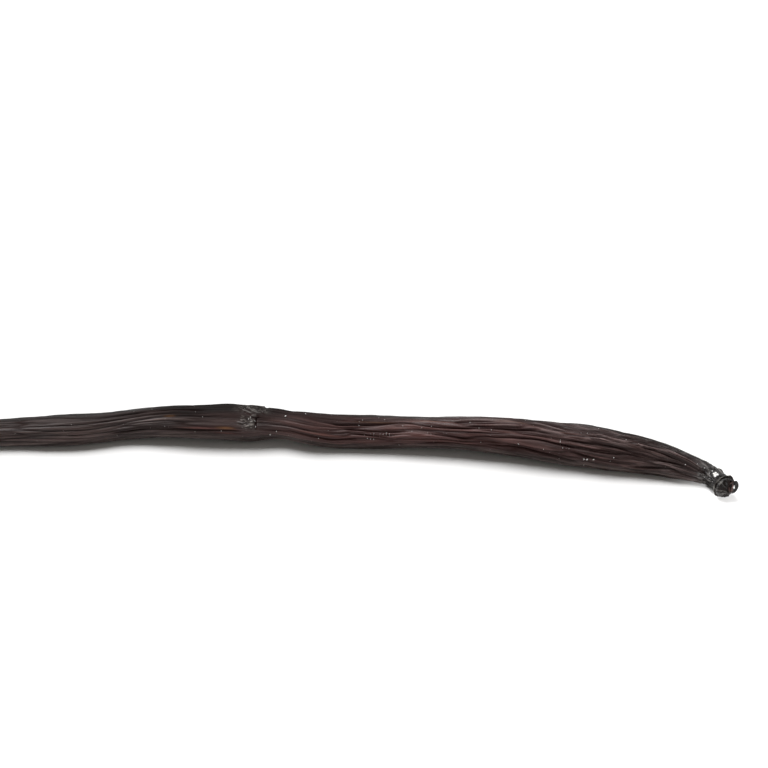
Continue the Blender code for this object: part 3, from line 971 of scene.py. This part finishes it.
def crystal_material():
    """White, slightly waxy crystals, some of them greyer."""
    material, tree, shader = new_material("crystals")
    noise = noise_on(tree, add_node(tree, "TexCoord").outputs["Object"], 900.0, 2.0)
    ramp = add_node(tree, "ValToRGB", {"Fac": noise})
    dull, white = ramp.color_ramp.elements
    dull.position, dull.color = 0.36, (*DULL_CRYSTAL, 1)
    white.position, white.color = 0.50, (*WHITE_CRYSTAL, 1)
    set_inputs(tree, shader, {"Base Color": ramp.outputs["Color"], "Roughness": 0.25})
    waxy = {"Subsurface Weight": 1.0, "Subsurface Radius": (1.0, 1.0, 1.0), "Subsurface Scale": 0.0004}
    set_inputs(tree, shader, waxy)
    return material


def curl_material():
    """Dry stem tissue: glossy near-black outside, brown where it is torn."""
    material, tree, shader = new_material("stem_curl")
    noise = noise_on(tree, add_node(tree, "TexCoord").outputs["Object"], 1600.0, 4.0, 0.6)
    flesh = add_node(tree, "Attribute", attribute_name="flesh").outputs["Fac"]
    colours = {"Factor": flesh, "A": CURL_SKIN, "B": CURL_FLESH}
    colour = add_node(tree, "Mix", colours, data_type="RGBA").outputs["Result"]
    set_inputs(tree, shader, {"Base Color": colour, "Normal": bumped(tree, noise, 0.0001, 0.8)})
    set_inputs(tree, shader, {"Roughness": 0.38, "Specular IOR Level": 0.12})
    return material


def floor_material():
    """Plain white."""
    material, tree, shader = new_material("white_floor")
    matt = {"Base Color": (0.86, 0.86, 0.86), "Roughness": 0.9, "Specular IOR Level": 0.0}
    set_inputs(tree, shader, matt)
    return material


# ---------------- stage, light and camera

LOOK_AT = (0.0227, 0.02968, 0.0)
CAMERA_DISTANCE, CAMERA_ELEVATION, CAMERA_LENS = 0.427, math.radians(30), 100.0
FLOOR_HALF = 4.0


def make_floor():
    """A wide white floor just under the pod."""
    mesh = bpy.data.meshes.new("floor")
    square = [(-1, -1), (1, -1), (1, 1), (-1, 1)]
    mesh.from_pydata([(FLOOR_HALF * x, FLOOR_HALF * y, 0) for x, y in square], [], [(0, 1, 2, 3)])
    mesh.materials.append(floor_material())
    new_object("floor", mesh)


# The window: the azimuth and elevation its light comes from, and how wide it looks, in degrees.
WINDOW_AZIMUTH, WINDOW_ELEVATION, WINDOW_WIDTH, WINDOW_STRENGTH = -48, 56, 49, 4.6
# The card is a small spot that lightens the shadow of the stem end.
CARD_PLACE, CARD_FACES = (0.094, -0.070, 0.024), (0.0868, -0.0132, 0)
CARD_BEAM, CARD_RADIUS, CARD_POWER = math.radians(12), 0.006, 0.55
ROOM_FRONT, ROOM_BACK = 0.30, 0.06  # how strongly the room lights from the front, and from behind
ROOM_LOW, ROOM_HIGH = 1.45, 0.50  # how much of that comes from low down, and from high up
ROOM_TINT = (1.0, 0.955, 0.89)


def make_light():
    """Broad soft light from behind and above, and the small card in front of the stem end."""
    data = bpy.data.lights.new("window", "SUN")
    data.energy, data.angle = WINDOW_STRENGTH, math.radians(WINDOW_WIDTH)
    window = new_object("window", data)
    window.rotation_euler = (math.radians(WINDOW_ELEVATION - 90), 0, math.radians(-WINDOW_AZIMUTH))
    data = bpy.data.lights.new("card", "SPOT")
    data.energy, data.shadow_soft_size = CARD_POWER, CARD_RADIUS
    data.spot_size, data.spot_blend = CARD_BEAM, 1.0
    card = new_object("card", data)
    card.location = CARD_PLACE
    facing = Vector(CARD_FACES) - Vector(CARD_PLACE)
    card.rotation_euler = facing.to_track_quat("-Z", "Y").to_euler()
    card.visible_camera = card.visible_glossy = False


def make_room():
    """A pale room: it lights weakly, mostly from the front and from low down, but looks white."""
    world = bpy.data.worlds.new("room")
    world.use_nodes = True
    bpy.context.scene.world = world
    tree = world.node_tree
    parts = add_node(tree, "SeparateXYZ", {"Vector": add_node(tree, "TexCoord").outputs["Generated"]})
    across = {"Value": parts.outputs["Y"], "From Min": 0.1, "From Max": 0.8}
    across.update({"To Min": ROOM_FRONT, "To Max": ROOM_BACK})
    front = add_node(tree, "MapRange", across, interpolation_type="SMOOTHSTEP").outputs["Result"]
    upwards = {"Value": parts.outputs["Z"], "From Min": 0.0, "From Max": 0.8}
    upwards.update({"To Min": ROOM_LOW, "To Max": ROOM_HIGH})
    low = add_node(tree, "MapRange", upwards).outputs["Result"]
    lit = add_node(tree, "Math", {0: front, 1: low}, operation="MULTIPLY").outputs["Value"]
    seen = add_node(tree, "LightPath").outputs["Is Camera Ray"]
    strength = add_node(tree, "MapRange", {"Value": seen, "To Min": lit, "To Max": 1.0}).outputs["Result"]
    tints = {"Factor": seen, "A": ROOM_TINT, "B": (1, 1, 1)}
    tint = add_node(tree, "Mix", tints, data_type="RGBA").outputs["Result"]
    set_inputs(tree, tree.nodes["Background"], {"Strength": strength, "Color": tint})


def make_camera():
    """Looks along +Y and down by 30 degrees at a point on the table behind the pod."""
    data = bpy.data.cameras.new("camera")
    data.lens, data.sensor_width = CAMERA_LENS, 36.0
    data.clip_start = 0.01
    camera = new_object("camera", data)
    away = (0.0, -math.cos(CAMERA_ELEVATION), math.sin(CAMERA_ELEVATION))
    camera.location = [at + CAMERA_DISTANCE * step for at, step in zip(LOOK_AT, away)]
    camera.rotation_euler = (math.pi / 2 - CAMERA_ELEVATION, 0, 0)
    bpy.context.scene.camera = camera


def corners(bounds):
    """A box's two corners as plain lists."""
    return [[float(value) for value in corner] for corner in bounds]


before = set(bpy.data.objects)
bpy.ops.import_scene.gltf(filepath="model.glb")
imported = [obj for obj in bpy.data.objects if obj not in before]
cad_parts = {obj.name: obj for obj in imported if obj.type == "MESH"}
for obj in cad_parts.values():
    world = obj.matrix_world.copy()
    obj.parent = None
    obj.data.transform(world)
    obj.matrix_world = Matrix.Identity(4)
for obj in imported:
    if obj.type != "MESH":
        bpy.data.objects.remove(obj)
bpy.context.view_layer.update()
bpy.context.scene.view_settings.view_transform = "Standard"
make_camera()
make_floor()
make_light()
make_room()
skin_grid = make_skin(skin_material())
make_crystals(crystal_material(), *skin_grid)
make_curl(curl_material())
